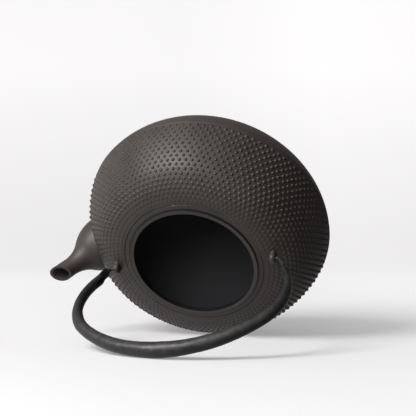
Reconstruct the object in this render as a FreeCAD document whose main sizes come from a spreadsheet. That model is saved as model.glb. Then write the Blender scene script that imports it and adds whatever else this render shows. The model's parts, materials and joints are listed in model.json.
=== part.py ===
"""Cast iron kettle with a swinging hollow bail. Millimetres, +Z up through the mouth.

The origin is the centre of the flat base. The spout points along +X, and the hinge line of
the bail is parallel to X, through a pierced lug at the front and another at the rear.
"""
import FreeCAD, Part
import math
import os
import PartDesign
import Sketcher
from FreeCAD import Placement, Rotation, Vector

X_AXIS, Y_AXIS, Z_AXIS = Vector(1, 0, 0), Vector(0, 1, 0), Vector(0, 0, 1)

SIZES = {
    # kettle body: the seam is the widest line of the casting
    "body_radius": 90.0, "seam_height": 50.0, "body_wall": 3.2, "lining_thickness": 0.4,
    "belly_arc": 84.0, "shoulder_arc": 30.0, "crown_arc": 80.0, "bowl_arc": 50.0,
    "mouth_radius": 44.0, "lip_width": 2.9, "lip_height": 99.8,
    "ring_groove_radius": 51.0, "ring_groove_depth": 0.5, "seam_groove_depth": 0.5,
    # spout, along its own straight axis
    "spout_root_x": 70.0, "spout_root_z": 55.2, "spout_rise": 54.0, "spout_tip_height": 101.2,
    "bulb_radius": 20.0, "bulb_arc": 32.0, "neck_radius": 6.6, "tip_radius": 7.0,
    "spout_bore": 5.2, "spout_wall": 3.0, "body_port": 9.0,
    # lugs and the hinge line
    "hinge_height": 99.5, "lug_reach": 59.3, "lug_thickness": 4.0, "lug_head": 3.6,
    "lug_foot": 5.5, "lug_hole": 1.33, "lug_edge": 1.2,
    # bail: the tube's ends are placed from the hinge line, and each hook lies along its outer wall
    "hook_radius": 1.25, "hook_reach": 63.5, "hook_tip": 57.0, "hook_bend": 3.0,
    "hook_tail": 23.0, "hook_offset": 1.3, "tube_end_reach": 70.8, "tube_end_rise": 15.4,
    "tube_end_lean": 31.0, "arch_radius": 92.9,
    "tube_end_radius": 3.2, "tube_side_radius": 4.4, "tube_top_radius": 5.7, "tube_wall": 1.2,
}

UPPER_HEADING = 97.7                     # the belly leans in by 7.7 degrees just above the seam
UPPER_TURNS = (24.0, 42.0, 10.4)         # degrees turned by the belly, shoulder and crown arcs
LOWER_HEADING = -102.0                   # the bowl leans in by 12 degrees just below the seam
LOWER_TURN = -45.0                       # then runs straight down to the base
BULB_TURN = 40.8                         # degrees that the bulb turns in, and the neck back out
NECK_START = 48.0                        # where the neck begins, along the spout's axis
BORE_START = 44.0                        # the bore inside it begins a little earlier
LUG_SINK = 10.0                          # a lug's foot reaches this far below the hinge line
LUG_SHOULDER = 12.0                      # degrees above level where its flanks meet its round head


def make_sheet(doc):
    sheet = doc.addObject("Spreadsheet::Sheet", "Sizes")
    for row, (alias, value) in enumerate(SIZES.items(), start=1):
        sheet.set("A%d" % row, alias)
        sheet.set("B%d" % row, str(value))
        sheet.setAlias("B%d" % row, alias)
    doc.recompute()
    return sheet


# ---------------------------------------------------------------- outlines

def polar(length, heading):
    return Vector(length * math.cos(math.radians(heading)), length * math.sin(math.radians(heading)))


def arc_step(start, heading, radius, turn):
    """An arc that leaves start along heading and turns left by turn degrees (right if negative)."""
    chord = 2 * radius * math.sin(math.radians(abs(turn) / 2))
    half_chord = 2 * radius * math.sin(math.radians(abs(turn) / 4))
    middle = start + polar(half_chord, heading + turn / 4)
    end = start + polar(chord, heading + turn / 2)
    return ("arc", start, middle, end), end, heading + turn


def down_to(start, heading, height):
    """The point at the given height on the straight line that leaves start along heading."""
    return start + polar((height - start.y) / math.sin(math.radians(heading)), heading)


def upper_side(sheet, depth):
    """Belly, shoulder and crown arcs from the seam to the mouth, depth below the outer skin."""
    point = Vector(sheet.body_radius - depth, sheet.seam_height)
    heading = UPPER_HEADING
    steps = []
    radii = (sheet.belly_arc, sheet.shoulder_arc, sheet.crown_arc)
    for radius, turn in zip(radii, UPPER_TURNS):
        step, point, heading = arc_step(point, heading, radius - depth, turn)
        steps.append(step)
    return steps


def lower_side(sheet, depth):
    """Bowl arc and straight cone from the seam to the base, depth below the outer skin."""
    start = Vector(sheet.body_radius - depth, sheet.seam_height)
    arc, point, heading = arc_step(start, LOWER_HEADING, sheet.bowl_arc - depth, LOWER_TURN)
    return [arc, ("line", point, down_to(point, heading, depth))]


def backwards(steps):
    return [(step[0],) + tuple(reversed(step[1:])) for step in reversed(steps)]


def side(sheet, depth):
    """The whole side from the base's edge up to the mouth."""
    return backwards(lower_side(sheet, depth)) + upper_side(sheet, depth)


def lines(*points):
    return [("line", first, second) for first, second in zip(points, points[1:])]


# ---------------------------------------------------------------- sketches and bodies

def plane_of(body, role):
    return [item for item in body.Origin.OriginFeatures if item.Role == role][0]


def add_sketch(body, name, role, steps):
    """A sketch of lines and arcs that follow each other, joined end to end.

    A sketch counts an arc's ends anticlockwise, so a clockwise arc starts at its second end.
    """
    sketch = body.newObject("Sketcher::SketchObject", name)
    sketch.AttachmentSupport = [(plane_of(body, role), "")]
    sketch.MapMode = "FlatFace"
    ends = []
    for step in steps:
        if step[0] == "arc":
            start, middle, end = step[1:]
            curve = Part.Arc(start, middle, end)
            clockwise = (middle - start).cross(end - start).z < 0
        else:
            curve = Part.LineSegment(*step[1:])
            clockwise = False
        index = sketch.addGeometry(curve, False)
        ends.append((index, 2, 1) if clockwise else (index, 1, 2))
    closed = steps[-1][-1].distanceToPoint(steps[0][1]) < 1e-6
    followers = ends[1:] + ends[:1] if closed else ends[1:]
    for before, after in zip(ends, followers):
        joint = Sketcher.Constraint("Coincident", before[0], before[2], after[0], after[1])
        sketch.addConstraint(joint)
    return sketch


def bind_distance(sketch, kind, geometry, end, alias):
    """Ties one point's X or Y place in the sketch to a cell."""
    place = getattr(sketch.getPoint(geometry, end), "x" if kind == "DistanceX" else "y")
    number = sketch.addConstraint(Sketcher.Constraint(kind, -1, 1, geometry, end, place))
    sketch.setExpression("Constraints[%d]" % number, "Sizes.%s" % alias)


def bind_radius(sketch, geometry, formula):
    radius = sketch.Geometry[geometry].Radius
    number = sketch.addConstraint(Sketcher.Constraint("Radius", geometry, radius))
    sketch.setExpression("Constraints[%d]" % number, formula)


def revolve(doc, body, sketch):
    turn = body.newObject("PartDesign::Revolution", body.Name + "_turn")
    turn.Profile = sketch
    turn.ReferenceAxis = (sketch, ["V_Axis"])
    turn.Angle = 360.0
    sketch.Visibility = False
    body.Tip = turn
    doc.recompute()


def new_body(doc, name):
    body = doc.addObject("PartDesign::Body", name)
    body.Label = name
    return body


def cut(doc, name, base, tool):
    result = doc.addObject("Part::Cut", name)
    result.Label = name
    result.Base = base
    result.Tool = tool
    doc.recompute()
    return result


# ---------------------------------------------------------------- kettle body

def body_form(doc, sheet):
    """The outer shape of the body as one solid, which the spout and lugs are fitted to."""
    body = new_body(doc, "body_form")
    outside = side(sheet, 0.0)
    crown = outside[-1][-1]
    top, foot = Vector(0, crown.y), Vector(0, 0)
    steps = outside + lines(crown, top, foot, outside[0][1])
    sketch = add_sketch(body, "form_outline", "XZ_Plane", steps)
    revolve(doc, body, sketch)
    return body


def groove_ring(doc, name, radius, height, depth):
    """A ring of round section that cuts a shallow line around the body."""
    ring = doc.addObject("Part::Torus", name)
    ring.setExpression("Radius1", radius)
    ring.setExpression("Radius2", depth)
    ring.Placement = Placement(Vector(0, 0, height), Rotation())
    return ring


def height_at(steps, radius):
    """Height of an outline of arcs where it has the given radius."""
    for step in steps:
        curve = Part.Arc(*step[1:]).toShape()
        probe = Part.LineSegment(Vector(radius, 0), Vector(radius, 1000)).toShape()
        gap, pairs, _ = curve.distToShape(probe)
        if gap < 1e-6:
            return pairs[0][0].y
    raise ValueError("the outline has no point at radius %g" % radius)


def body_shell(doc, sheet, port):
    """The casting: bowl, belly and shoulder in one wall, with a raised lip round the mouth."""
    body = new_body(doc, "shell_casting")
    outside, inside = side(sheet, 0.0), side(sheet, sheet.body_wall)
    lip_radius = sheet.mouth_radius + sheet.lip_width
    crown, ceiling = outside[-1][-1], inside[-1][-1]
    steps = outside + lines(
        crown, Vector(lip_radius, sheet.lip_height), Vector(sheet.mouth_radius, sheet.lip_height),
        Vector(sheet.mouth_radius, ceiling.y), ceiling)
    steps += backwards(inside)
    floor_edge = inside[0][1]
    steps += lines(floor_edge, Vector(0, sheet.body_wall), Vector(0, 0), outside[0][1])
    sketch = add_sketch(body, "shell_outline", "XZ_Plane", steps)
    for geometry, alias in ((1, "bowl_arc"), (2, "belly_arc"), (3, "shoulder_arc"), (4, "crown_arc")):
        bind_radius(sketch, geometry, "Sizes." + alias)
    bind_distance(sketch, "DistanceX", 6, 2, "mouth_radius")
    bind_distance(sketch, "DistanceY", 6, 2, "lip_height")
    revolve(doc, body, sketch)

    ring_height = height_at(upper_side(sheet, 0.0), sheet.ring_groove_radius)
    ring = groove_ring(doc, "ring_groove", "Sizes.ring_groove_radius", ring_height, "Sizes.ring_groove_depth")
    seam_edge = sheet.seam_height + 5 * sheet.seam_groove_depth
    seam = groove_ring(doc, "seam_groove", "Sizes.body_radius", seam_edge, "Sizes.seam_groove_depth")
    ringed = cut(doc, "shell_ringed", body, ring)
    seamed = cut(doc, "shell_seamed", ringed, seam)
    return cut(doc, "body_shell", seamed, port)


def enamel_lining(doc, sheet, port):
    """The glassy coat inside the casting, open at the mouth and at the spout's port."""
    body = new_body(doc, "lining_coat")
    outside = side(sheet, sheet.body_wall)
    inside = side(sheet, sheet.body_wall + sheet.lining_thickness)
    floor = sheet.body_wall
    steps = outside + lines(outside[-1][-1], inside[-1][-1])
    steps += backwards(inside)
    steps += lines(inside[0][1], Vector(0, floor + sheet.lining_thickness), Vector(0, floor), outside[0][1])
    sketch = add_sketch(body, "lining_outline", "XZ_Plane", steps)
    revolve(doc, body, sketch)
    return cut(doc, "enamel_lining", body, port)


# ---------------------------------------------------------------- spout

def spout_axis(sheet):
    """Where the spout's straight axis starts, and the turn that lays local Z along it."""
    root = Vector(sheet.spout_root_x, 0, sheet.spout_root_z)
    return Placement(root, Rotation(Y_AXIS, 90 - sheet.spout_rise))


def spout_side(sheet, bulb, bulb_arc, neck, neck_start, tip):
    """Bulb, neck and tip as radius against distance along the axis, from the bulb outwards."""
    drop = (bulb - neck) / (1 - math.cos(math.radians(BULB_TURN)))
    run = drop * math.sin(math.radians(BULB_TURN))
    start = Vector(bulb, neck_start - run)
    first, point, heading = arc_step(start, 90.0, bulb_arc, BULB_TURN)
    second, point, heading = arc_step(point, heading, drop - bulb_arc, -BULB_TURN)
    beyond_tip = 70.0
    return [first, second, ("line", point, Vector(tip, beyond_tip))]


def spout_turning(doc, sheet, name, steps):
    """One solid turned about the spout's axis, from its root to beyond the tip."""
    root_height = 3.0
    body = new_body(doc, name)
    start, end = steps[0][1], steps[-1][-1]
    outline = steps + lines(
        end, Vector(0, end.y), Vector(0, root_height), Vector(start.x, root_height), start)
    sketch = add_sketch(body, name + "_outline", "XZ_Plane", outline)
    revolve(doc, body, sketch)
    body.Placement = spout_axis(sheet)
    return body


def spout(doc, sheet, form):
    """A bulb on the belly that narrows to a straight neck, cut level at the tip."""
    outside = spout_side(sheet, sheet.bulb_radius, sheet.bulb_arc, sheet.neck_radius, NECK_START,
                         sheet.tip_radius)
    inner_arc = sheet.bulb_arc + BORE_START - NECK_START
    inside = spout_side(sheet, sheet.bulb_radius - sheet.spout_wall, inner_arc, sheet.spout_bore,
                        BORE_START, sheet.spout_bore)
    outer = spout_turning(doc, sheet, "spout_outside", outside)
    inner = spout_turning(doc, sheet, "spout_inside", inside)
    hollow = cut(doc, "spout_hollow", outer, inner)
    rooted = cut(doc, "spout_rooted", hollow, form)
    breadth = 4 * sheet.bulb_radius
    level = doc.addObject("Part::Box", "tip_level")
    level.Length, level.Width, level.Height = breadth, breadth, breadth
    corner = Vector(sheet.spout_root_x, -breadth / 2, sheet.spout_tip_height)
    level.Placement = Placement(corner, Rotation())
    return cut(doc, "spout", rooted, level)


def spout_port(doc, sheet):
    """The round passage through the body's wall behind the spout."""
    port = doc.addObject("Part::Cylinder", "port")
    port.setExpression("Radius", "Sizes.body_port")
    port.Height = 32
    port.Placement = spout_axis(sheet)
    return port


# ---------------------------------------------------------------- lugs

def lug(doc, sheet, name, form, where):
    """A rounded ear on the shoulder, pierced along X for the hook of the bail."""
    body = new_body(doc, name + "_ear")
    head, foot, height = sheet.lug_head, sheet.lug_foot, sheet.hinge_height
    foot_height = height - LUG_SINK
    right = Vector(0, height) + polar(head, LUG_SHOULDER)
    left = Vector(0, height) + polar(head, 180 - LUG_SHOULDER)
    steps = [("arc", right, Vector(0, height + head), left)]
    steps += lines(left, Vector(-foot, foot_height), Vector(foot, foot_height), right)
    sketch = add_sketch(body, name + "_outline", "YZ_Plane", steps)
    bind_radius(sketch, 0, "Sizes.lug_head")
    pad = body.newObject("PartDesign::Pad", name + "_pad")
    pad.Profile = sketch
    pad.setExpression("Length", "Sizes.lug_thickness")
    pad.Midplane = True
    sketch.Visibility = False
    doc.recompute()
    rim = []
    for number, edge in enumerate(pad.Shape.Edges, start=1):
        box = edge.BoundBox
        if box.XLength < 1e-6 and box.ZMax > foot_height + 1:
            rim.append("Edge%d" % number)
    rounding = body.newObject("PartDesign::Fillet", name + "_rounding")
    rounding.Base = (pad, rim)
    rounding.setExpression("Radius", "Sizes.lug_edge")
    body.Tip = rounding
    body.Placement = Placement(Vector(where * sheet.lug_reach, 0, 0), Rotation())
    doc.recompute()
    seated = cut(doc, name + "_seated", body, form)
    hole = doc.addObject("Part::Cylinder", name + "_hole")
    hole.setExpression("Radius", "Sizes.lug_hole")
    hole.Height = 20
    start = Vector(where * sheet.lug_reach - 10, 0, height)
    hole.Placement = Placement(start, Rotation(Y_AXIS, 90))
    return cut(doc, name, seated, hole)


# ---------------------------------------------------------------- bail

def tube_end(sheet):
    """The tube's end from the hinge line, and the way its outer wall faces, in X and Z."""
    return Vector(sheet.tube_end_reach, sheet.tube_end_rise), polar(1, -sheet.tube_end_lean)


def hook(doc, sheet, name, where):
    """A round tongue: a pin through the lug, a bend, and a tail along the tube's outer wall."""
    body = new_body(doc, name)
    end, outward = tube_end(sheet)
    leg = end + outward * sheet.hook_offset - Vector(sheet.hook_reach, 0)
    rise = math.degrees(math.atan2(leg.y, leg.x))
    reach = sheet.hook_reach - sheet.hook_tip
    bend_start = Vector(reach - sheet.hook_bend * math.tan(math.radians(rise / 2)), 0)
    bend, bend_end, heading = arc_step(bend_start, 0.0, sheet.hook_bend, rise)
    tail_end = Vector(reach, 0) + polar(sheet.hook_tail, heading)
    path_steps = [("line", Vector(0, 0), bend_start), bend, ("line", bend_end, tail_end)]
    path = add_sketch(body, name + "_path", "XZ_Plane", path_steps)
    bind_radius(path, 1, "Sizes.hook_bend")
    section = body.newObject("Sketcher::SketchObject", name + "_section")
    section.AttachmentSupport = [(plane_of(body, "YZ_Plane"), "")]
    section.MapMode = "FlatFace"
    section.addGeometry(Part.Circle(Vector(0, 0), Z_AXIS, sheet.hook_radius), False)
    section.addConstraint(Sketcher.Constraint("Coincident", 0, 3, -1, 1))
    bind_radius(section, 0, "Sizes.hook_radius")
    doc.recompute()
    pipe = body.newObject("PartDesign::AdditivePipe", name + "_bar")
    pipe.Profile = section
    pipe.Spine = (path, ["Edge1", "Edge2", "Edge3"])
    body.Tip = pipe
    body.Placement = Placement(Vector(where * sheet.hook_tip, 0, sheet.hinge_height),
                               Rotation(Z_AXIS, 0 if where > 0 else 180))
    doc.recompute()
    return body


def arch_spine(sheet):
    """Half the arch of the bail in X and Z: a corner arc and a top arc that centres on the hinge line."""
    leg, outward = tube_end(sheet)
    inward = outward * -1
    arch = sheet.arch_radius
    corner = (arch ** 2 - leg.dot(leg)) / (2 * (arch + leg.dot(inward)))
    centre = leg + inward * corner
    join_angle = math.degrees(math.atan2(centre.y, centre.x))
    join = polar(arch, join_angle)
    middle = centre + (leg + join - centre * 2).normalize() * corner
    points = {"leg": leg, "middle": middle, "join": join, "crown": Vector(0, arch),
              "shoulder": polar(arch, (join_angle + 90) / 2)}
    return {name: Vector(point.x, 0, point.y + sheet.hinge_height) for name, point in points.items()}


def mirrored(point):
    return Vector(-point.x, point.y, point.z)


def circle_at(point, tangent, radius):
    return Part.Wire([Part.Circle(point, tangent, radius).toShape()])


def bar_along_arch(sheet, thinner, overrun):
    """A solid bar along the arch, thin at both ends and thickest at the crown.

    thinner is taken off every radius, and overrun lengthens each end in a straight line.
    """
    at = arch_spine(sheet)
    lean = math.radians(sheet.tube_end_lean)
    leg_way = Vector(math.sin(lean), 0, math.cos(lean))
    front_end = at["leg"] - leg_way * overrun
    edges = [
        Part.Arc(at["leg"], at["middle"], at["join"]).toShape(),
        Part.Arc(at["join"], at["shoulder"], at["crown"]).toShape(),
        Part.Arc(at["crown"], mirrored(at["shoulder"]), mirrored(at["join"])).toShape(),
        Part.Arc(mirrored(at["join"]), mirrored(at["middle"]), mirrored(at["leg"])).toShape(),
    ]
    if overrun:
        edges.insert(0, Part.LineSegment(front_end, at["leg"]).toShape())
        edges.append(Part.LineSegment(mirrored(at["leg"]), mirrored(front_end)).toShape())
    centre = Vector(0, 0, sheet.hinge_height)
    join_way = (at["join"] - centre).cross(Y_AXIS).normalize()
    end_way = mirrored(leg_way) * -1
    sections = [
        circle_at(front_end, leg_way, sheet.tube_end_radius - thinner),
        circle_at(at["join"], join_way, sheet.tube_side_radius - thinner),
        circle_at(at["crown"], X_AXIS, sheet.tube_top_radius - thinner),
        circle_at(mirrored(at["join"]), mirrored(join_way) * -1, sheet.tube_side_radius - thinner),
        circle_at(mirrored(front_end), end_way, sheet.tube_end_radius - thinner),
    ]
    pipe = Part.BRepOffsetAPI.MakePipeShell(Part.Wire(edges))
    for section in sections:
        pipe.add(section, False, False)
    pipe.build()
    pipe.makeSolid()
    return pipe.shape()


def handle_tube(doc, sheet):
    """The hollow arch of the bail, rolled from sheet iron and open at both ends."""
    tube = doc.addObject("Part::Feature", "handle_tube")
    tube.Label = "handle_tube"
    outside = bar_along_arch(sheet, 0.0, 0.0)
    inside = bar_along_arch(sheet, sheet.tube_wall, 1.0)
    tube.Shape = outside.cut(inside)
    return tube


# ---------------------------------------------------------------- build and export

def check(doc, nodes):
    for item in doc.Objects:
        if "Invalid" in item.State or "Error" in item.State:
            raise RuntimeError("%s failed: %s" % (item.Name, item.State))
    for node in nodes:
        shape = node.Shape
        if shape.isNull() or not shape.isValid() or len(shape.Solids) != 1:
            raise RuntimeError("%s has a bad shape" % node.Label)
        print("%-14s %9.1f mm3" % (node.Label, shape.Volume))


def main():
    doc = FreeCAD.newDocument("kettle")
    sheet = make_sheet(doc)
    form = body_form(doc, sheet)
    port = spout_port(doc, sheet)
    nodes = [
        body_shell(doc, sheet, port),
        enamel_lining(doc, sheet, port),
        spout(doc, sheet, form),
        lug(doc, sheet, "front_lug", form, 1),
        lug(doc, sheet, "rear_lug", form, -1),
        handle_tube(doc, sheet),
        hook(doc, sheet, "front_hook", 1),
        hook(doc, sheet, "rear_hook", -1),
    ]
    doc.recompute()
    check(doc, nodes)
    os.makedirs("parts", exist_ok=True)
    for node in nodes:
        node.Shape.exportStep("parts/%s.step" % node.Label)


main()
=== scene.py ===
"""A cast iron kettle lying on its side, with rows of small raised dots. Metres, in the CAD frame."""
import json
import math
import random

import bmesh
import bpy
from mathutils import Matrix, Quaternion, Vector
from mathutils.bvhtree import BVHTree
from mathutils.noise import noise as noise_at


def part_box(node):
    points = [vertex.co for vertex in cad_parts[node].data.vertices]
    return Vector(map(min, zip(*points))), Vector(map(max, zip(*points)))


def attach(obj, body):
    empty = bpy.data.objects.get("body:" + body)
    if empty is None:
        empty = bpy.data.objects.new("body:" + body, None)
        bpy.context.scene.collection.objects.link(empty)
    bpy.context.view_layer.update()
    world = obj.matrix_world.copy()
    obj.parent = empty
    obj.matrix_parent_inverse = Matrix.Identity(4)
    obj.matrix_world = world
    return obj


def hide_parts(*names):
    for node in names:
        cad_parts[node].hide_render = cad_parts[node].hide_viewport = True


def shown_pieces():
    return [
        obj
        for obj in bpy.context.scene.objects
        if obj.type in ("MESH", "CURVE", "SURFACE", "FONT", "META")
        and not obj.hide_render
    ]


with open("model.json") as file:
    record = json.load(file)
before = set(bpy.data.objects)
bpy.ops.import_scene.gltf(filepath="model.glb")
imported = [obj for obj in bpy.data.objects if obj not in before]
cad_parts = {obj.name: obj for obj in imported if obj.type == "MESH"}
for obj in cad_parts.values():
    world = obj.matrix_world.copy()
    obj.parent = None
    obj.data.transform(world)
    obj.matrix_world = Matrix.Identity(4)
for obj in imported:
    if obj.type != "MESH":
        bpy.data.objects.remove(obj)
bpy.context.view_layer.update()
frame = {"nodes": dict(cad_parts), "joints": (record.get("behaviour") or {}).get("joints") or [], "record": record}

NODES = frame["nodes"]

# ---------------------------------------------------------------- sizes that the frame gives

SEAM_HEIGHT = 0.050
HINGE = Vector(frame["joints"][0]["pos_m"])
SPOUT = next(mount for mount in frame["record"]["mounts"] if mount["name"] == "spout_mouth")
SPOUT_POINT, SPOUT_AXIS = Vector(SPOUT["pos_m"]), Vector(SPOUT["axis"])

# ---------------------------------------------------------------- camera, floor and lights

VIEW_AZIMUTH, VIEW_ELEVATION, VIEW_ROLL = math.radians(-31.36), math.radians(50.61), math.radians(-159.22)
VIEW_DISTANCE = 1.1797
VIEW_AIM = Vector((0.0, -0.00843, 0.04408))
LENS, SENSOR_WIDTH = 138.46, 36.0        # in millimetres
FLOOR_DIP = math.radians(3.2)            # how far the camera looks down on the floor


def make_camera():
    """The camera of the main view, rolled so that the kettle lies tipped on its side."""
    back = Vector((
        math.sin(VIEW_AZIMUTH) * math.cos(VIEW_ELEVATION),
        -math.cos(VIEW_AZIMUTH) * math.cos(VIEW_ELEVATION),
        math.sin(VIEW_ELEVATION)))
    data = bpy.data.cameras.new("camera")
    data.sensor_width = SENSOR_WIDTH
    data.lens = LENS
    data.clip_start, data.clip_end = 0.01, 20.0
    camera = bpy.data.objects.new("camera", data)
    camera.rotation_mode = "QUATERNION"
    level = (-back).to_track_quat("-Z", "Y")
    camera.rotation_quaternion = level @ Quaternion((0, 0, 1), VIEW_ROLL)
    camera.location = VIEW_AIM + back * VIEW_DISTANCE
    bpy.context.collection.objects.link(camera)
    bpy.context.scene.camera = camera
    bpy.context.view_layer.update()
    turn = camera.matrix_world.to_3x3()
    return turn @ Vector((1, 0, 0)), turn @ Vector((0, 1, 0)), back


bpy.context.scene.view_settings.view_transform = "Standard"
RIGHT, CAMERA_UP, BACK = make_camera()
FLOOR_UP = CAMERA_UP * math.cos(FLOOR_DIP) + BACK * math.sin(FLOOR_DIP)
AWAY = FLOOR_UP.cross(RIGHT)             # level, away from the camera


# ---------------------------------------------------------------- node helpers

def new_material(name):
    material = bpy.data.materials.new(name)
    material.use_nodes = True
    tree = material.node_tree
    shader = next(node for node in tree.nodes if node.type == "BSDF_PRINCIPLED")
    return material, tree, shader


def add(tree, kind, **values):
    """A node with its inputs and settings given by name."""
    node = tree.nodes.new(kind)
    for key, value in values.items():
        socket = node.inputs.get(key.replace("_", " "))
        if socket is None:
            setattr(node, key, value)
        else:
            socket.default_value = value
    return node


def noise(tree, coordinates, scale, detail=3.0, roughness=0.55):
    node = add(tree, "ShaderNodeTexNoise", Scale=scale, Detail=detail, Roughness=roughness)
    tree.links.new(coordinates, node.inputs["Vector"])
    return node.outputs["Fac"]


def ramp(tree, factor, *stops):
    """A colour ramp; each stop is (position, colour)."""
    node = tree.nodes.new("ShaderNodeValToRGB")
    tree.links.new(factor, node.inputs["Fac"])
    elements = node.color_ramp.elements
    while len(elements) < len(stops):
        elements.new(0.5)
    for element, (position, colour) in zip(elements, stops):
        element.position = position
        element.color = tuple(colour) + (1.0,)
    return node.outputs["Color"]


def span(tree, factor, low, high, out_low, out_high):
    node = add(tree, "ShaderNodeMapRange")
    node.inputs["From Min"].default_value, node.inputs["From Max"].default_value = low, high
    node.inputs["To Min"].default_value, node.inputs["To Max"].default_value = out_low, out_high
    tree.links.new(factor, node.inputs["Value"])
    return node.outputs["Result"]


def bump(tree, height, strength, distance, below=None):
    node = add(tree, "ShaderNodeBump", Strength=strength, Distance=distance)
    tree.links.new(height, node.inputs["Height"])
    if below is not None:
        tree.links.new(below, node.inputs["Normal"])
    return node.outputs["Normal"]


def object_space(tree):
    return tree.nodes.new("ShaderNodeTexCoord").outputs["Object"]


# ---------------------------------------------------------------- materials

def ring_distance(tree, place):
    """Distance from the kettle's axis."""
    flat = add(tree, "ShaderNodeVectorMath", operation="MULTIPLY")
    tree.links.new(place, flat.inputs[0])
    flat.inputs[1].default_value = (1, 1, 0)
    length = add(tree, "ShaderNodeVectorMath", operation="LENGTH")
    tree.links.new(flat.outputs["Vector"], length.inputs[0])
    return length.outputs["Value"]


def blended(tree, factor, first, second):
    node = add(tree, "ShaderNodeMix", data_type="RGBA")
    tree.links.new(factor, node.inputs["Factor"])
    for socket, value in ((node.inputs["A"], first), (node.inputs["B"], second)):
        if isinstance(value, tuple):
            socket.default_value = value + (1.0,)
        else:
            tree.links.new(value, socket)
    return node.outputs["Result"]


def cast_iron_material():
    """Matte warm black casting skin with a fine sandy grain, a painted shade line in the groove round the lip, and
    the mouth's bore near black.
    """
    material, tree, shader = new_material("cast_iron_skin")
    place = object_space(tree)
    mottle = noise(tree, place, 38.0, 5.0)
    colour = ramp(tree, mottle, (0.30, (0.048, 0.038, 0.034)), (0.70, (0.070, 0.055, 0.049)))
    radius = ring_distance(tree, place)
    # Painted shade: a near black ring where shade falls in the groove round the lip.
    painted_crease_shade = ramp(tree, span(tree, radius, 0.0460, 0.0490, 0.0, 1.0),
                  (0.15, (0, 0, 0)), (0.30, (1, 1, 1)), (0.50, (1, 1, 1)), (0.75, (0, 0, 0)))
    colour = blended(tree, painted_crease_shade, colour, (0.012, 0.011, 0.010))
    # The mouth's bore is coloured near black, much darker than the enamel lining.
    inside = span(tree, radius, 0.04415, 0.04405, 0.0, 1.0)
    colour = blended(tree, inside, colour, (0.006, 0.006, 0.006))
    tree.links.new(colour, shader.inputs["Base Color"])
    tree.links.new(span(tree, mottle, 0.3, 0.7, 0.44, 0.54), shader.inputs["Roughness"])
    grain = noise(tree, place, 1400.0, 2.0)
    coarse = bump(tree, noise(tree, place, 260.0, 3.0), 0.25, 0.0004)
    tree.links.new(bump(tree, grain, 0.35, 0.00012, coarse), shader.inputs["Normal"])
    return material


def enamel_material():
    material, tree, shader = new_material("enamel_black")
    place = object_space(tree)
    cloud = noise(tree, place, 20.0, 3.0)
    colour = ramp(tree, cloud, (0.3, (0.115, 0.117, 0.126)), (0.7, (0.135, 0.137, 0.148)))
    tree.links.new(colour, shader.inputs["Base Color"])
    tree.links.new(span(tree, cloud, 0.3, 0.7, 0.58, 0.68), shader.inputs["Roughness"])
    tree.links.new(bump(tree, noise(tree, place, 120.0, 2.0), 0.1, 0.0004), shader.inputs["Normal"])
    return material


def forged_iron_material():
    """Satin black lacquer over hammered iron, lighter in patches along the gripped upper side of the crown: partly
    wear from the hand, partly a painted highlight.
    """
    material, tree, shader = new_material("forged_iron")
    place = object_space(tree)
    mottle = noise(tree, place, 70.0, 5.0)
    colour = ramp(tree, mottle, (0.3, (0.018, 0.017, 0.017)), (0.7, (0.036, 0.034, 0.034)))
    apart = tree.nodes.new("ShaderNodeSeparateXYZ")
    tree.links.new(place, apart.inputs[0])
    # Lighter patches on the crown's upper side, which faces the key light: partly wear from the grip, partly a
    # painted highlight.
    upper = span(tree, apart.outputs["Y"], -0.0005, -0.0042, 0.0, 1.0)
    crown = span(tree, apart.outputs["Z"], 0.150, 0.185, 0.0, 1.0)
    patches = ramp(tree, noise(tree, place, 210.0, 6.0, 0.7), (0.38, (0, 0, 0)), (0.70, (1, 1, 1)))
    grip_and_lit_side = add(tree, "ShaderNodeMath", operation="MULTIPLY")
    tree.links.new(upper, grip_and_lit_side.inputs[0])
    tree.links.new(crown, grip_and_lit_side.inputs[1])
    wear_and_highlight = add(tree, "ShaderNodeMath", operation="MULTIPLY")
    tree.links.new(grip_and_lit_side.outputs["Value"], wear_and_highlight.inputs[0])
    tree.links.new(patches, wear_and_highlight.inputs[1])
    colour = blended(tree, wear_and_highlight.outputs["Value"], colour, (0.078, 0.070, 0.066))
    tree.links.new(colour, shader.inputs["Base Color"])
    tree.links.new(span(tree, mottle, 0.3, 0.7, 0.38, 0.50), shader.inputs["Roughness"])
    hammer = bump(tree, noise(tree, place, 170.0, 3.0), 0.45, 0.0008)
    grain = bump(tree, noise(tree, place, 900.0, 3.0), 0.35, 0.00015, hammer)
    tree.links.new(grain, shader.inputs["Normal"])
    return material


CAST_IRON, ENAMEL, FORGED_IRON = cast_iron_material(), enamel_material(), forged_iron_material()


def dress(node, material):
    mesh = NODES[node].data
    mesh.materials.clear()
    mesh.materials.append(material)


for name in ("body_shell", "spout", "front_lug", "rear_lug"):
    dress(name, CAST_IRON)
dress("enamel_lining", ENAMEL)
for name in ("handle_tube", "front_hook", "rear_hook"):
    dress(name, FORGED_IRON)


# ---------------------------------------------------------------- dots on the casting

DOT_ROW_STEP = 0.0033                    # along the profile, from ring to ring
DOTS_PER_RING = 108
FIRST_ROW = 0.0049                       # above the seam, along the profile
SMOOTH_RING = 0.0525                     # radius of the plain band round the mouth
DOT_RADIUS, DOT_HEIGHT = 0.00132, 0.00085
DOT_CROWDING = 0.38                      # of the spacing, where the rings are tight
DOT_FADE, FADE_WIDTH = 0.24, 0.027       # the dots grow to full height this far out from the mouth
DOT_SIDES = 12
SPOUT_CLEARANCE, LUG_CLEARANCE = 0.0205, 0.0062   # no dots this near their middles
DOT_PROFILE = ((1.0, -0.06), (0.86, 0.22), (0.66, 0.62), (0.36, 0.92))


def smooth(part):
    part = min(max(part, 0.0), 1.0)
    return part * part * (3 - 2 * part)


def skin_tree():
    shell = NODES["body_shell"].data
    corners = [vertex.co.copy() for vertex in shell.vertices]
    return BVHTree.FromPolygons(corners, [list(face.vertices) for face in shell.polygons])


SKIN = skin_tree()


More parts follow.
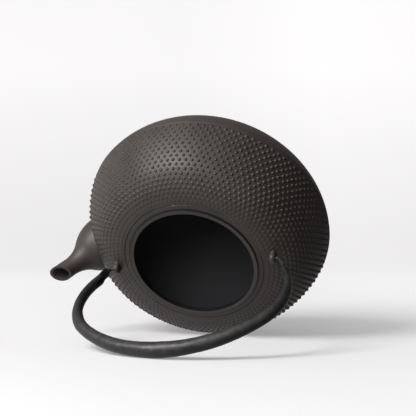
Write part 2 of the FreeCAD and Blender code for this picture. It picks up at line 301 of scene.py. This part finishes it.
def profile_points(count=600):
    """Points up the outer skin from the seam to the mouth, at the back of the body."""
    centre = Vector((0, 0, SEAM_HEIGHT))
    points = []
    for step in range(count):
        angle = math.radians(88.0) * step / (count - 1)
        way = Vector((0, math.cos(angle), math.sin(angle)))
        hit, normal, _, _ = SKIN.ray_cast(centre + way * 0.2, -way)
        if hit is None or hit.y < SMOOTH_RING:
            break
        points.append(Vector((hit.y, hit.z)))
    return points


def point_along(points, distance):
    """The (radius, height) and the outward slope at a distance along the profile, or None past its end."""
    for first, second in zip(points, points[1:]):
        step = (second - first).length
        if distance <= step:
            way = (second - first).normalized()
            return first + way * distance, Vector((way.y, -way.x))
        distance -= step
    return None


def near_fitting(place):
    """True where a dot would run into the spout's root or a lug."""
    from_axis = (place - SPOUT_POINT) - SPOUT_AXIS * (place - SPOUT_POINT).dot(SPOUT_AXIS)
    if place.x > 0 and from_axis.length < SPOUT_CLEARANCE:
        return True
    lug_x = (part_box("front_lug")[0].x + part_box("front_lug")[1].x) / 2
    return any((place - Vector((side * lug_x, 0, place.z))).length < LUG_CLEARANCE for side in (1, -1))


def add_dot(mesh, place, normal, radius, height, turn):
    """A round hobnail dome with its foot just under the skin."""
    side = normal.orthogonal().normalized()
    other = normal.cross(side)
    rings = []
    for part, lift in DOT_PROFILE:
        row = []
        for step in range(DOT_SIDES):
            angle = math.tau * step / DOT_SIDES + turn
            out = side * math.cos(angle) + other * math.sin(angle)
            row.append(mesh.verts.new(place + out * radius * part + normal * height * lift))
        rings.append(row)
    top = mesh.verts.new(place + normal * height)
    for lower, upper in zip(rings, rings[1:]):
        for step in range(DOT_SIDES):
            following = (step + 1) % DOT_SIDES
            mesh.faces.new((lower[step], lower[following], upper[following], upper[step]))
    for step in range(DOT_SIDES):
        mesh.faces.new((rings[-1][step], rings[-1][(step + 1) % DOT_SIDES], top))


def finish_mesh(mesh, name, body, material):
    bmesh.ops.recalc_face_normals(mesh, faces=mesh.faces)
    data = bpy.data.meshes.new(name)
    mesh.to_mesh(data)
    mesh.free()
    for face in data.polygons:
        face.use_smooth = True
    data.materials.append(material)
    piece = bpy.data.objects.new(name, data)
    bpy.context.collection.objects.link(piece)
    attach(piece, body)
    return piece


def make_dots():
    random_source = random.Random(7)
    mesh = bmesh.new()
    points = profile_points()
    row, distance = 0, FIRST_ROW
    found = point_along(points, distance)
    while found:
        (radius, height), (out, up) = found
        pitch = math.tau * radius / DOTS_PER_RING
        size = min(DOT_RADIUS, pitch * DOT_CROWDING)
        relief = DOT_HEIGHT * (DOT_FADE + (1 - DOT_FADE) * smooth((radius - SMOOTH_RING) / FADE_WIDTH))
        for step in range(DOTS_PER_RING):
            drift = random_source.uniform(-0.05, 0.05)
            angle = math.tau * (step + 0.5 * (row % 2) + drift) / DOTS_PER_RING
            way = Vector((math.cos(angle), math.sin(angle), 0))
            place = way * radius + Vector((0, 0, height))
            if near_fitting(place):
                continue
            normal = (way * out + Vector((0, 0, up))).normalized()
            tall = relief * random_source.uniform(0.85, 1.12)
            wide = size * random_source.uniform(0.92, 1.06)
            add_dot(mesh, place, normal, wide, tall, random_source.uniform(0, math.tau))
        row += 1
        distance += DOT_ROW_STEP
        found = point_along(points, distance)
    print("dot rows", row, "faces", len(mesh.faces))
    return finish_mesh(mesh, "arare_dots", "kettle", CAST_IRON)


make_dots()


# ---------------------------------------------------------------- cast lugs, worn round

LUG_REACH, LUG_THICKNESS, LUG_HEAD = 0.0593, 0.0044, 0.0037
LUG_HOLE, LUG_FLARE, LUG_SINK = 0.00133, 0.0058, 0.0085
LUG_SIDES, LUG_ROUNDS = 40, 14


def lug_outline(angle):
    """Distance from the hole to the ear's edge: a round head on a foot that flares into the skin."""
    down = -math.sin(angle)
    if down <= 0:
        return LUG_HEAD
    across = abs(math.cos(angle))
    widen = LUG_FLARE - LUG_HEAD
    straight = LUG_HEAD / max(across - down * widen / LUG_SINK, 0.001)
    return min(straight, LUG_SINK / max(down, 0.001), 2 * LUG_SINK)


def make_lug(name, node, side):
    mesh = bmesh.new()
    rings = []
    for face in (1, -1):
        order = range(LUG_ROUNDS + 1) if face == 1 else range(LUG_ROUNDS - 1, -1, -1)
        for step in order:
            spread = math.sin(math.pi / 2 * step / LUG_ROUNDS)
            lift = (1 - spread ** 2.2) ** (1 / 2.2)
            row = []
            for turn in range(LUG_SIDES):
                angle = math.tau * turn / LUG_SIDES
                edge = lug_outline(angle)
                out = LUG_HOLE + (edge - LUG_HOLE) * spread
                place = Vector((
                    face * LUG_THICKNESS / 2 * lift, math.cos(angle) * out, math.sin(angle) * out))
                row.append(mesh.verts.new(HINGE + Vector((side * LUG_REACH, 0, 0)) + place))
            rings.append(row)
    for first, second in zip(rings, rings[1:] + rings[:1]):
        for turn in range(LUG_SIDES):
            following = (turn + 1) % LUG_SIDES
            mesh.faces.new((first[turn], first[following], second[following], second[turn]))
    piece = finish_mesh(mesh, name, "kettle", CAST_IRON)
    piece.data.set_sharp_from_angle(angle=math.radians(60))
    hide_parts(node)


make_lug("front_ear", "front_lug", 1)
make_lug("rear_ear", "rear_lug", -1)


# ---------------------------------------------------------------- bail, drawn out of one sheet to its hooks

ARCH_RADIUS = 0.0929                     # centred on the hinge line
TUBE_END = Vector((0.0708, 0.0154))      # from the hinge line, in X and Z
TUBE_LEAN = math.radians(31.0)
HOOK_REACH, HOOK_TIP = 0.0635, 0.0572
ROD_RADIUS, SHEET = 0.00125, 0.0014
END_SIZE, SIDE_SIZE, TOP_SIZE = (0.0026, 0.0043), (0.0044, 0.0044), (0.0057, 0.0057)
SECTION_POINTS = 22
ALMOST_CLOSED = math.radians(178.0)      # the seam where the sheet's edges meet, on the inner side
HALF_OPEN = math.radians(70.0)
HOOK_BEND, CLOSING_LENGTH = 0.0030, 0.0026
FRONT_SHOULDER, FRONT_SLIT = 0.0050, math.radians(150.0)
REAR_SHOULDER, REAR_SLIT = 0.0150, math.radians(95.0)
BEND_STEPS, TONGUE_STEPS, CLOSING_STEPS, CORNER_STEPS, TOP_STEPS = 6, 30, 7, 34, 56


def plane_way(angle):
    return Vector((math.cos(angle), math.sin(angle)))


def section(centre, outward, size, opening, thickness):
    """A C of sheet iron: its outer wall round from one edge to the other, then back along the inside."""
    points = []
    for wall, (thin, order) in enumerate(((0.0, 1), (thickness, -1))):
        for step in range(SECTION_POINTS):
            angle = order * opening * (2 * step / (SECTION_POINTS - 1) - 1)
            deep = (size[0] - thin) * math.cos(angle)
            wide = (size[1] - thin) * math.sin(angle)
            flat = centre + outward * deep
            points.append(Vector((flat.x, wide, flat.y)))
    return points


def mixed(first, second, part):
    return [one.lerp(other, part) for one, other in zip(first, second)]


def between(first, second, part):
    return tuple(one + (other - one) * part for one, other in zip(first, second))


def half_bail(shoulder, slit):
    """Sections from the hook's tip, through the lug, up the tongue and along the tube to the crown.

    shoulder is where the tongue reaches its full width, and slit how far the tube is shut at its end.
    """
    along, outward = plane_way(math.pi / 2 - TUBE_LEAN), plane_way(-TUBE_LEAN)
    corner = (ARCH_RADIUS ** 2 - TUBE_END.length_squared) / (2 * (ARCH_RADIUS - TUBE_END.dot(outward)))
    centre = TUBE_END - outward * corner
    join = math.atan2(centre.y, centre.x)
    sections = []

    hook_start = Vector((HOOK_REACH, 0))
    leg = TUBE_END + outward * (END_SIZE[0] - SHEET / 2) - hook_start
    leg_way = leg.normalized()
    leg_side = Vector((leg_way.y, -leg_way.x))
    rise = math.atan2(leg.y, leg.x)
    trim = HOOK_BEND * math.tan(rise / 2)
    rod = (ROD_RADIUS, ROD_RADIUS)
    tip = (ROD_RADIUS * 0.7, ROD_RADIUS * 0.7)
    sections.append(section(Vector((HOOK_TIP, 0)), Vector((0, -1)), tip, ALMOST_CLOSED, tip[0]))
    for x in (HOOK_TIP + 0.0003, 0.5 * (HOOK_TIP + HOOK_REACH - trim), HOOK_REACH - trim):
        sections.append(section(Vector((x, 0)), Vector((0, -1)), rod, ALMOST_CLOSED, ROD_RADIUS))
    pivot = Vector((HOOK_REACH - trim, HOOK_BEND))
    for step in range(1, BEND_STEPS + 1):
        out = plane_way(rise * step / BEND_STEPS - math.pi / 2)
        sections.append(section(pivot + out * HOOK_BEND, out, rod, ALMOST_CLOSED, ROD_RADIUS))

    for step in range(1, TONGUE_STEPS + 1):
        distance = trim + (leg.length - trim) * step / TONGUE_STEPS
        part = smooth((distance - trim) / (shoulder - trim))
        hollow = smooth((distance - 0.6 * shoulder) / (leg.length - 0.6 * shoulder) * 1.3)
        width = ROD_RADIUS + (END_SIZE[1] - ROD_RADIUS) * part
        thick = ROD_RADIUS + (SHEET / 2 - ROD_RADIUS) * part
        depth = thick + (END_SIZE[0] - thick) * hollow
        opening = HALF_OPEN + (slit - HALF_OPEN) * hollow
        middle = hook_start + leg_way * distance
        blade = section(middle, leg_side, (thick, width), ALMOST_CLOSED, thick)
        trough = section(middle - leg_side * (depth - SHEET / 2), leg_side, (depth, width), opening, SHEET)
        sections.append(mixed(blade, trough, hollow))

    for step in range(1, CLOSING_STEPS + 1):
        opening = slit + (ALMOST_CLOSED - slit) * smooth(step / CLOSING_STEPS)
        place = TUBE_END + along * CLOSING_LENGTH * step / CLOSING_STEPS
        sections.append(section(place, outward, END_SIZE, opening, SHEET))

    first_turn = -TUBE_LEAN + CLOSING_LENGTH / corner
    for step in range(1, CORNER_STEPS + 1):
        out = plane_way(first_turn + (join - first_turn) * step / CORNER_STEPS)
        size = between(END_SIZE, SIDE_SIZE, smooth(step / CORNER_STEPS))
        sections.append(section(centre + out * corner, out, size, ALMOST_CLOSED, SHEET))
    for step in range(1, TOP_STEPS + 1):
        out = plane_way(join + (math.pi / 2 - join) * step / TOP_STEPS)
        size = between(SIDE_SIZE, TOP_SIZE, step / TOP_STEPS)
        sections.append(section(out * ARCH_RADIUS, out, size, ALMOST_CLOSED, SHEET))
    return sections


def hammered(point, section_middle):
    """Lets the smith's hammer flats show as a slight unevenness of the outer wall."""
    out = point - section_middle
    dent = noise_at(point * 130.0) * 0.00010 + noise_at(point * 48.0 + Vector((7, 3, 1))) * 0.00016
    return point + out.normalized() * dent


def make_bail():
    front = half_bail(FRONT_SHOULDER, FRONT_SLIT)
    rear = [[Vector((-point.x, point.y, point.z)) for point in ring]
            for ring in half_bail(REAR_SHOULDER, REAR_SLIT)[-2::-1]]
    mesh = bmesh.new()
    rings = []
    for ring in front + rear:
        middle = sum(ring, Vector()) / len(ring)
        placed = [HINGE + hammered(point, middle) for point in ring]
        rings.append([mesh.verts.new(point) for point in placed])
    count = len(rings[0])
    for first, second in zip(rings, rings[1:]):
        for step in range(count):
            following = (step + 1) % count
            mesh.faces.new((first[step], first[following], second[following], second[step]))
    for ring in (rings[0], rings[-1]):
        for step in range(SECTION_POINTS - 1):
            mesh.faces.new((ring[step], ring[step + 1], ring[count - 2 - step], ring[count - 1 - step]))
    piece = finish_mesh(mesh, "bail_iron", "bail", FORGED_IRON)
    piece.data.set_sharp_from_angle(angle=math.radians(50))
    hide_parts("handle_tube", "front_hook", "rear_hook")


make_bail()


# ---------------------------------------------------------------- floor, backdrop and light

PALE = (0.93, 0.915, 0.922)
PAPER = (0.74, 0.73, 0.735)


# The paper's own light grows away from the camera, up the wall, and to the right, where the key light
# falls off. Each row holds a direction, two distances along it, and the light at each.
PAPER_GLOW = ((AWAY, -0.10, 0.35, 0.26, 0.46), (FLOOR_UP, -0.09, 0.12, 0.0, 0.16),
              (RIGHT, -0.05, 0.15, 0.0, 0.09))


def floor_material():
    """Pale matte paper that is clear from behind, so that it never hides the kettle."""
    material, tree, shader = new_material("paper")
    shader.inputs["Base Color"].default_value = PAPER + (1.0,)
    shader.inputs["Roughness"].default_value = 1.0
    shader.inputs["Specular IOR Level"].default_value = 0.0
    shader.inputs["Emission Color"].default_value = PALE + (1.0,)
    glow = None
    for way, low, high, at_low, at_high in PAPER_GLOW:
        distance = add(tree, "ShaderNodeVectorMath", operation="DOT_PRODUCT")
        tree.links.new(object_space(tree), distance.inputs[0])
        distance.inputs[1].default_value = way
        part = span(tree, distance.outputs["Value"], low, high, at_low, at_high)
        if glow is not None:
            total = add(tree, "ShaderNodeMath", operation="ADD")
            tree.links.new(glow, total.inputs[0])
            tree.links.new(part, total.inputs[1])
            part = total.outputs["Value"]
        glow = part
    tree.links.new(glow, shader.inputs["Emission Strength"])
    clear = tree.nodes.new("ShaderNodeBsdfTransparent")
    sides = tree.nodes.new("ShaderNodeNewGeometry")
    mix = tree.nodes.new("ShaderNodeMixShader")
    tree.links.new(sides.outputs["Backfacing"], mix.inputs["Fac"])
    tree.links.new(shader.outputs["BSDF"], mix.inputs[1])
    tree.links.new(clear.outputs["BSDF"], mix.inputs[2])
    output = next(node for node in tree.nodes if node.type == "OUTPUT_MATERIAL")
    tree.links.new(mix.outputs["Shader"], output.inputs["Surface"])
    return material


def lowest_point():
    """How far the kettle reaches against the floor's up direction."""
    lowest = 0.0
    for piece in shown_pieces():
        if piece.type == "MESH":
            lowest = min(lowest, min(FLOOR_UP.dot(vertex.co) for vertex in piece.data.vertices))
    return lowest


def make_floor():
    """A sheet of paper under the kettle that curves up behind it."""
    foot = FLOOR_UP * lowest_point()
    outline = [(-2.5, 0.0), (0.5, 0.0)]
    bend = 0.9
    for step in range(1, 17):
        angle = math.radians(90) * step / 16
        outline.append((0.5 + bend * math.sin(angle), bend * (1 - math.cos(angle))))
    outline.append((0.5 + bend, 4.0))
    mesh = bmesh.new()
    rows = []
    for side in (-3.0, 3.0):
        rows.append([mesh.verts.new(foot + RIGHT * side + AWAY * depth + FLOOR_UP * rise)
                     for depth, rise in outline])
    for step in range(len(outline) - 1):
        mesh.faces.new((rows[0][step], rows[1][step], rows[1][step + 1], rows[0][step + 1]))
    data = bpy.data.meshes.new("floor")
    mesh.to_mesh(data)
    mesh.free()
    for face in data.polygons:
        face.use_smooth = True
    data.materials.append(floor_material())
    floor = bpy.data.objects.new("floor", data)
    bpy.context.collection.objects.link(floor)
    floor.visible_diffuse = False
    floor.visible_glossy = False
    floor.visible_shadow = False
    floor.visible_transmission = False
    return floor


def make_world():
    world = bpy.data.worlds.new("studio")
    bpy.context.scene.world = world
    world.use_nodes = True
    tree = world.node_tree
    tree.nodes.clear()
    direction = tree.nodes.new("ShaderNodeTexCoord").outputs["Generated"]
    def share(way, low, high, at_low, at_high):
        """Part of the light, by how far a direction leans the given way."""
        lean = add(tree, "ShaderNodeVectorMath", operation="DOT_PRODUCT")
        tree.links.new(direction, lean.inputs[0])
        lean.inputs[1].default_value = way
        return span(tree, lean.outputs["Value"], low, high, at_low, at_high)

    def product(first, second):
        level = add(tree, "ShaderNodeMath", operation="MULTIPLY")
        tree.links.new(first, level.inputs[0])
        tree.links.new(second, level.inputs[1])
        return level.outputs["Value"]

    bounce = share(FLOOR_UP, -0.6, 0.4, 0.62, 0.24)
    from_left = share(-RIGHT, -0.7, 0.8, 0.20, 1.25)
    from_front = share(-AWAY, 0.3, 0.95, 1.0, 0.25)
    from_back = share(AWAY, 0.4, 0.95, 1.0, 1.8)
    level = product(product(bounce, from_left), product(from_front, from_back))
    light = add(tree, "ShaderNodeBackground", Color=(1.0, 1.0, 1.0, 1.0))
    tree.links.new(level, light.inputs["Strength"])
    seen = add(tree, "ShaderNodeBackground", Color=PALE + (1.0,), Strength=1.0)
    ray = tree.nodes.new("ShaderNodeLightPath")
    mix = tree.nodes.new("ShaderNodeMixShader")
    tree.links.new(ray.outputs["Is Camera Ray"], mix.inputs["Fac"])
    tree.links.new(light.outputs["Background"], mix.inputs[1])
    tree.links.new(seen.outputs["Background"], mix.inputs[2])
    output = tree.nodes.new("ShaderNodeOutputWorld")
    tree.links.new(mix.outputs["Shader"], output.inputs["Surface"])


def area_light(name, place, size, power, colour=(1.0, 1.0, 1.0)):
    """A square soft light at place = (right, up, towards the camera) that faces the kettle."""
    data = bpy.data.lights.new(name, "AREA")
    data.shape = "SQUARE"
    data.size = size
    data.energy = power
    data.color = colour
    light = bpy.data.objects.new(name, data)
    centre = Vector((0, 0, SEAM_HEIGHT))
    light.location = centre + RIGHT * place[0] + FLOOR_UP * place[1] - AWAY * place[2]
    light.rotation_mode = "QUATERNION"
    light.rotation_quaternion = (centre - light.location).to_track_quat("-Z", "Y")
    bpy.context.collection.objects.link(light)


make_floor()
make_world()
area_light("key_light", (-0.94, 0.95, 0.78), 0.75, 23.5)
area_light("fill_light", (-0.36, 0.52, 1.35), 0.7, 3.4)
